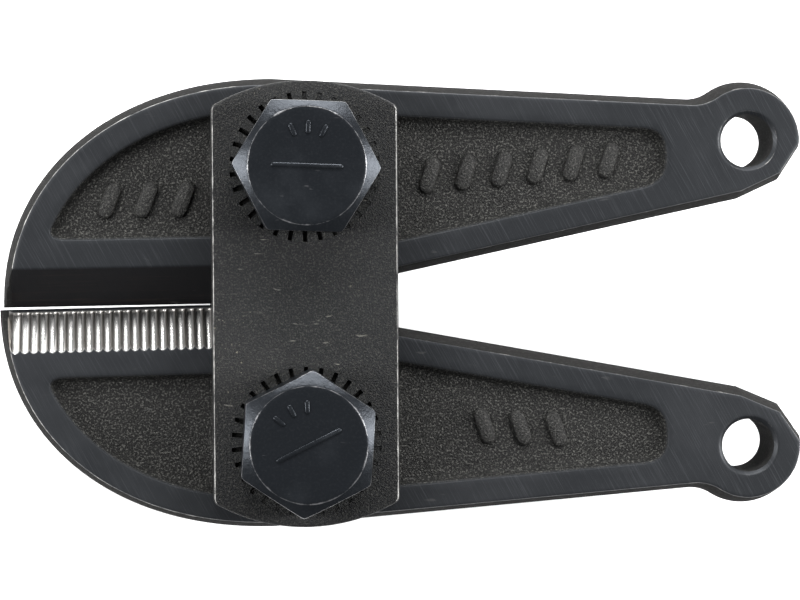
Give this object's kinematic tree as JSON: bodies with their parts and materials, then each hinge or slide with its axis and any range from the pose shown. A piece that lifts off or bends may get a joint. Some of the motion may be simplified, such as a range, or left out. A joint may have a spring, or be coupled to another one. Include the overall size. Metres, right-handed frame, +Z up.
{
  "type": "bolt cutter jaw head",
  "caption": "Jaw head for hand-operated bolt cutters: two forged jaws swing on bolts between a pair of link plates and end in eyes for the handles.",
  "frame": {"origin": "under the middle of the head's length and width, on the surface that the head lies on, at the ends of the pivot bolts", "axes": "+X from the jaw tips to the handle eyes, +Y from the lower jaw to the upper jaw, +Z up through the bolt heads"},
  "size_m": [0.1097, 0.0608, 0.0364],
  "materials": {
    "jaw_steel": "forged and blackened, faces and bevels ground",
    "plate_steel": "blanked plate, phosphated dark grey",
    "bolt_steel": "blackened, lightly oiled",
    "nut_steel": "blackened",
    "sleeve_steel": "turned and greased"
  },
  "bodies": {
    "link": {"front_link_plate": "plate_steel", "back_link_plate": "plate_steel", "upper_pivot_bolt": "bolt_steel", "lower_pivot_bolt": "bolt_steel", "upper_pivot_nut": "nut_steel", "lower_pivot_nut": "nut_steel", "upper_pivot_sleeve": "sleeve_steel", "lower_pivot_sleeve": "sleeve_steel"},
    "upper_jaw_body": {"upper_jaw": "jaw_steel"},
    "lower_jaw_body": {"lower_jaw": "jaw_steel"}
  },
  "joints": [
    {"name": "upper_jaw_swing", "type": "hinge", "parent": "link", "child": "upper_jaw_body", "pos_m": [-0.0139, 0.0182, 0.01995], "axis": [0, 0, -1], "range_deg": [-0.15, 12.3]},
    {"name": "lower_jaw_swing", "type": "hinge", "parent": "link", "child": "lower_jaw_body", "pos_m": [-0.0144, -0.0182, 0.01995], "axis": [0, 0, 1], "range_deg": [-0.15, 12.3]}
  ]
}
